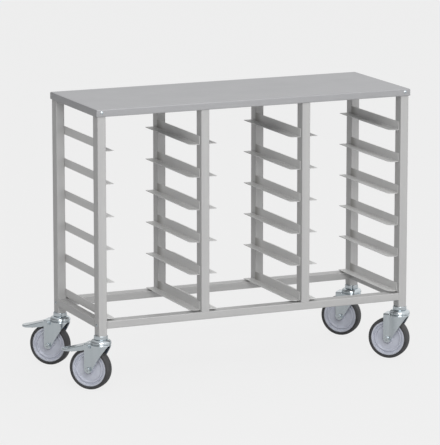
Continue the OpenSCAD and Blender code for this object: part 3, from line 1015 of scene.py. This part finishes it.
    def pedal(self) -> Skin:
        """The brake pedal: a foot plate, its edge folded down round the tip, and two cheeks to the pivot."""
        tip, heel = -self.trail - self.pedal_reach, -self.trail - self.heel_back
        share = 1 - np.cos(np.linspace(0, math.pi / 2, 34))
        x = tip + (heel - tip) * share
        back = -self.trail - x
        wide = self.pedal_half * np.sqrt(1 - np.clip((tip + self.tip_r - x) / self.tip_r, 0, 1) ** 2)
        near, far = self.heel_back, self.pedal_reach
        top = self.crown_z - np.interp(back, [near, 24, 72, far], [self.heel_top, 6, 20, 22])
        low = self.crown_z - np.interp(back, [near, 20, 44, 72, far], [self.heel_low, 21, 25, 27, 26])
        bend = np.minimum(self.pedal_bend, wide)
        turn = np.linspace(0, math.pi / 2, 6)[1:, None]
        inward = np.linspace(1, 0, 5)[1:, None]
        up = np.linspace(0, 1, 4)[:, None]
        skirt_y, fold_y = np.tile(wide, (len(up), 1)), wide - bend * (1 - np.cos(turn))
        skirt_z, fold_z = low * (1 - up) + (top - bend) * up, top - bend * (1 - np.sin(turn))
        y = np.concatenate([skirt_y, fold_y, (wide - bend) * inward])
        z = np.concatenate([skirt_z, fold_z, np.tile(top, (len(inward), 1))])
        half = spread_out(x, y, z)
        whole = np.concatenate([half, (half * np.array([1, -1, 1]))[-2::-1]])
        skin = Skin().add(self.swivelled(whole), flip=True)
        for s in (-1, 1):
            skin.add(self.swivelled(self.cheek(heel, s)), flip=s > 0)
        return skin

    def cheek(self, heel: float, side: int) -> Array:
        """A cheek beside the fork's leg, from the foot plate's heel to the round ear about the pivot."""
        pivot = -self.trail - self.pivot_back
        round_off = self.ear_r * np.sin(np.linspace(0, math.pi / 2, 12))
        x = np.concatenate([np.linspace(heel, pivot, 10)[:-1], pivot + round_off])
        ear = np.sqrt(np.clip(self.ear_r**2 - np.clip(x - pivot, 0, None) ** 2, 0, None))
        ends = [heel, pivot]
        over = np.interp(x, ends, [self.crown_z - self.heel_top, self.pivot_z + self.ear_r])
        under = np.interp(x, ends, [self.crown_z - self.heel_low, self.pivot_z - self.ear_r])
        upper = np.where(x < pivot, over, self.pivot_z + ear)
        lower = np.where(x < pivot, under, self.pivot_z - ear)
        share = np.linspace(0, 1, 8)[:, None]
        rise = lower * (1 - share) + upper * share
        return spread_out(x, side * self.pedal_half, rise)


@dataclass
class KeptNodes:
    """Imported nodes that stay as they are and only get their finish."""

    finishes: Finishes

    def dress(self, nodes: dict[str, bpy.types.Object]) -> None:
        """Puts the finishes on the posts, rails, screws, balls, rivets and brake shoes."""
        steel, zinc, rubber = self.finishes.steel, self.finishes.zinc, self.finishes.rubber
        kinds = (
            ("post_", steel[Grain.ALONG_Z]), ("mid_post_", steel[Grain.ALONG_Z]),
            ("rail_front", steel[Grain.ALONG_X]), ("rail_rear", steel[Grain.ALONG_X]),
            ("rail_left", steel[Grain.ALONG_Y]), ("rail_right", steel[Grain.ALONG_Y]),
            ("top_screws", zinc), ("plug_screws", zinc), ("balls_", zinc), ("pedal_rivets_", zinc),
            ("brake_shoe_", rubber),
        )
        for start, material in kinds:
            for name in (n for n in nodes if n.startswith(start)):
                coat(nodes[name], material)
                LOG.info("%s is dressed in %s", name, material.name)


@dataclass
class Studio:
    """Floor, soft lamps, pale surroundings and the camera at the photograph's place."""

    backdrop: float = 0.90
    floor_size: float = 60.0
    floor_glow: float = 0.9
    floor_mirrored: float = 0.35
    floor_matt: float = 0.5
    world_mirrored: float = 0.2
    lit_side: Place = (0.90, -0.20, 0.40)
    fade: tuple[float, float] = (-0.6, 0.5)
    dim: float = 0.15
    bright: float = 1.05
    lamp_aim: Place = (0.05, 0.0, 0.4)
    focal_px: float = 3175.0
    view_depth: float = 200.0
    place: Place = (-3.7546, -8.5979, 2.2855)
    turn_deg: float = -23.65
    pitch_deg: float = 11.21

    def build(self) -> None:
        """Builds the stage."""
        self.floor()
        self.world()
        self.softbox("key", (-2.0, -6.4, 4.6), 4.4, 330.0)
        self.softbox("side", (3.6, -8.0, 2.0), 3.0, 20.0)
        self.softbox("top", (0.5, 0.2, 3.8), 2.6, 8.0)
        self.camera()

    def floor(self) -> None:
        """A pale floor that glows evenly for the camera and keeps part of the shadows."""
        half = self.floor_size / 2
        corner = np.array([-half, half])
        plane = Skin().add(spread_out(corner[:, None], corner, 0.0) / MM).make("floor")
        material = bpy.data.materials.new("pale_floor")
        material.use_nodes = True
        graph = Graph(material.node_tree)
        glow = graph.add("ShaderNodeEmission", None, Color=self.grey(self.backdrop), Strength=1.0)
        matt = graph.add("ShaderNodeBsdfDiffuse", None, Color=self.grey(self.floor_matt))
        share = graph.math("MULTIPLY", self.seen(graph, self.floor_mirrored), self.floor_glow)
        mixed = graph.add("ShaderNodeMixShader", None, i0=share, i1=matt.outputs[0], i2=glow.outputs[0])
        graph.add("ShaderNodeOutputMaterial", None, Surface=mixed.outputs[0])
        coat(plane, material)

    @staticmethod
    def grey(level: float) -> Colour:
        """A grey of this level."""
        return (level, level, level, 1)

    @staticmethod
    def seen(graph: Graph, mirrored: float) -> bpy.types.NodeSocket:
        """Share in which a ray sees the pale backdrop: all of it from the camera or through glass.

        Args:
            graph: The graph of the floor's material or the world.
            mirrored: The share that a metal's reflection sees.

        Returns:
            The share.
        """
        ray = graph.add("ShaderNodeLightPath").outputs
        straight = graph.math("MAXIMUM", ray["Is Camera Ray"], ray["Is Transmission Ray"])
        return graph.math("MAXIMUM", straight, graph.math("MULTIPLY", ray["Is Glossy Ray"], mirrored))

    def world(self) -> None:
        """Even pale surroundings for the camera, and soft light that falls off from the lit side.

        Its strength rises evenly with the cosine between a direction and the lit side's.
        """
        world = bpy.data.worlds.new("studio")
        bpy.context.scene.world = world
        world.use_nodes = True
        graph = Graph(world.node_tree)
        way = graph.add("ShaderNodeTexCoord").outputs["Generated"]
        facing = graph.add("ShaderNodeVectorMath", {"operation": "DOT_PRODUCT"}, i0=way, i1=self.lit_side)
        start, full = self.fade
        rise = graph.add(
            "ShaderNodeMapRange", None, Value=facing.outputs["Value"],
            From_Min=start, From_Max=full, To_Min=self.dim, To_Max=self.bright,
        )
        soft = graph.add("ShaderNodeBackground", None, Color=self.grey(1.0), Strength=rise.outputs[0])
        pale = graph.add("ShaderNodeBackground", None, Color=self.grey(self.backdrop), Strength=1.0)
        share = self.seen(graph, self.world_mirrored)
        mixed = graph.add("ShaderNodeMixShader", None, i0=share, i1=soft.outputs[0], i2=pale.outputs[0])
        graph.add("ShaderNodeOutputWorld", None, Surface=mixed.outputs[0])

    def softbox(self, name: str, place: Place, size: float, power: float) -> None:
        """A square soft lamp that faces the trolley's middle.

        Args:
            name: Name of the lamp.
            place: Where it hangs, in metres.
            size: Side of its square in metres.
            power: Its power in watts.
        """
        lamp = bpy.data.lights.new(name, "AREA")
        lamp.shape, lamp.size, lamp.energy = "SQUARE", size, power
        holder = bpy.data.objects.new(name, lamp)
        holder.location = place
        bpy.context.scene.collection.objects.link(holder)
        towards = np.array(self.lamp_aim) - np.array(place)
        pitch = math.atan2(math.hypot(towards[0], towards[1]), -towards[2])
        holder.rotation_euler = (pitch, 0.0, math.atan2(-towards[0], towards[1]))

    def camera(self) -> None:
        """The camera: a long lens that looks a little down from the left front."""
        lens = bpy.data.cameras.new("photo_view")
        lens.lens = self.focal_px * lens.sensor_width / PHOTO_LONG_SIDE
        lens.clip_end = self.view_depth
        holder = bpy.data.objects.new("photo_view", lens)
        holder.location = self.place
        holder.rotation_euler = (math.radians(90 - self.pitch_deg), 0.0, math.radians(self.turn_deg))
        bpy.context.scene.collection.objects.link(holder)
        bpy.context.scene.camera = holder


def main() -> None:
    """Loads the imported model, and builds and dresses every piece."""
    logging.basicConfig(level=logging.INFO, format="%(name)s: %(message)s")
    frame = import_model()
    bpy.context.scene.view_settings.view_transform = "Standard"
    finishes = Finishes()
    Studio().build()
    KeptNodes(finishes).dress(frame["nodes"])
    FoldedTop(finishes).build()
    TrayRack(finishes).build()
    for corner in Corner:
        Caster(finishes, corner).build()


if __name__ == "__main__":
    main()
